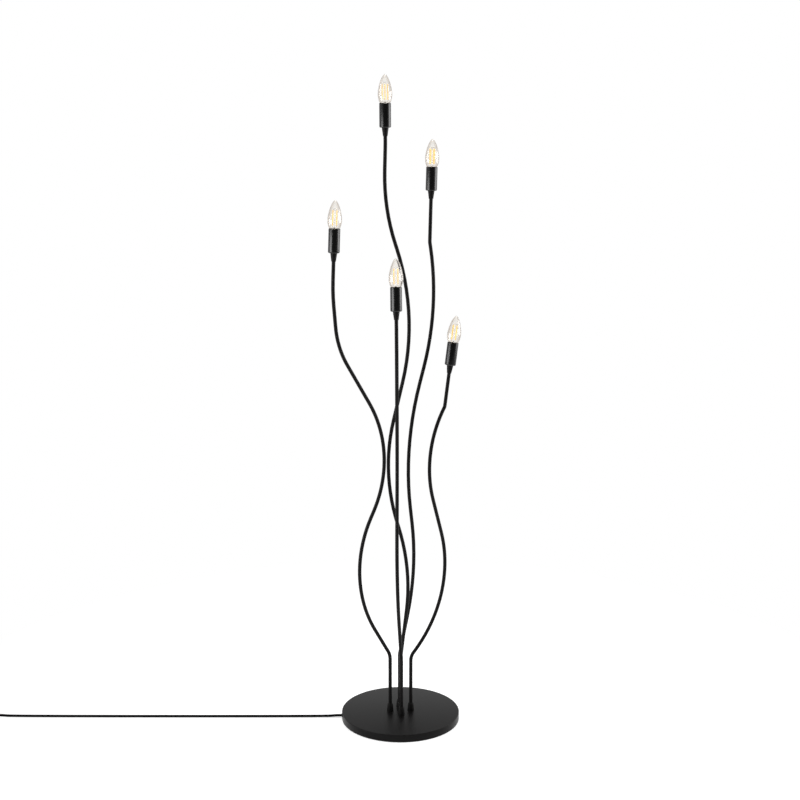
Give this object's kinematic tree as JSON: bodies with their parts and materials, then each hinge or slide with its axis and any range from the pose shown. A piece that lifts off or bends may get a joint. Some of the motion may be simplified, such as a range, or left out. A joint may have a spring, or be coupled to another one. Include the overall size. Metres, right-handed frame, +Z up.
{
  "type": "tree floor lamp",
  "caption": "Floor lamp with a round flat base, bent branch-like tubes and clear candle bulbs in black holders at different heights.",
  "frame": {"origin": "centre of the base's underside", "axes": "+Z up along the stems, +X to the right and -Y to the front as seen in the picture"},
  "size_m": [1.402, 0.3, 1.6155],
  "materials": {
    "painted_steel": "satin dark grey powder coat",
    "black_sleeve": "satin black",
    "cast_iron": "rough cast",
    "zinc_steel": "zinc plated",
    "foam": "matt foam",
    "cord_jacket": "satin black PVC",
    "lead_jacket": "satin PVC",
    "black_plastic": "matt black moulding",
    "white_plastic": "matt off-white moulding",
    "ceramic": "glazed off-white",
    "brass": "bright brass",
    "nickel": "nickel plated",
    "clear_glass": "clear blown glass",
    "filament": "yellow phosphor coated",
    "spring_steel": "plain"
  },
  "bodies": {
    "lamp": {"base_cover": "painted_steel", "ballast_plate": "cast_iron", "bottom_plate": "zinc_steel", "base_pad": "foam", "bottom_screws": "zinc_steel", "stem_washers": "zinc_steel", "stem_nuts": "zinc_steel", "stem_ferrules": "painted_steel", "stem_leads": "lead_jacket", "terminal_block": "white_plastic", "terminal_screws": "zinc_steel", "cord_bush": "black_plastic", "cord_clamp": "zinc_steel", "clamp_screws": "zinc_steel", "mains_tail": "cord_jacket", "socket_cones": "painted_steel", "hollow_nipples": "zinc_steel", "socket_inserts": "ceramic", "thread_shells": "brass", "contact_tongues": "brass", "cord_run": "cord_jacket", "cord_tail": "cord_jacket", "cord_coil": "cord_jacket", "cord_end": "cord_jacket", "switch_base": "black_plastic", "switch_cover": "black_plastic", "switch_spring": "spring_steel", "switch_block": "white_plastic", "switch_screws": "zinc_steel", "plug_body": "black_plastic", "plug_pins": "nickel", "stem_centre": "painted_steel", "socket_sleeve_centre": "black_sleeve", "stem_rear": "painted_steel", "socket_sleeve_rear": "black_sleeve", "stem_left": "painted_steel", "socket_sleeve_left": "black_sleeve", "stem_right": "painted_steel", "socket_sleeve_right": "black_sleeve", "stem_front": "painted_steel", "socket_sleeve_front": "black_sleeve"},
    "bulb_centre": {"bulb_glass_centre": "clear_glass", "bulb_cap_centre": "nickel", "bulb_filament_centre": "filament"},
    "bulb_rear": {"bulb_glass_rear": "clear_glass", "bulb_cap_rear": "nickel", "bulb_filament_rear": "filament"},
    "bulb_left": {"bulb_glass_left": "clear_glass", "bulb_cap_left": "nickel", "bulb_filament_left": "filament"},
    "bulb_right": {"bulb_glass_right": "clear_glass", "bulb_cap_right": "nickel", "bulb_filament_right": "filament"},
    "bulb_front": {"bulb_glass_front": "clear_glass", "bulb_cap_front": "nickel", "bulb_filament_front": "filament"},
    "button": {"switch_button": "black_plastic"}
  },
  "joints": [
    {"name": "bulb_centre_out", "type": "slide", "parent": "lamp", "child": "bulb_centre", "axis": [-0.0051, 0, 1], "range_m": [0, 0.035]},
    {"name": "bulb_rear_out", "type": "slide", "parent": "lamp", "child": "bulb_rear", "axis": [0.024, 0.016, 0.9996], "range_m": [0, 0.035]},
    {"name": "bulb_left_out", "type": "slide", "parent": "lamp", "child": "bulb_left", "axis": [0.0365, 0.0209, 0.9991], "range_m": [0, 0.035]},
    {"name": "bulb_right_out", "type": "slide", "parent": "lamp", "child": "bulb_right", "axis": [0.1242, 0.0812, 0.9889], "range_m": [0, 0.035]},
    {"name": "bulb_front_out", "type": "slide", "parent": "lamp", "child": "bulb_front", "axis": [-0.0098, 0.0783, 0.9969], "range_m": [0, 0.035]},
    {"name": "switch_press", "type": "slide", "parent": "lamp", "child": "button", "axis": [0, 0, -1], "range_m": [0, 0.003], "stiffness_N_per_m": 300, "springref_m": -0.002, "deforming": ["switch_spring"]}
  ]
}
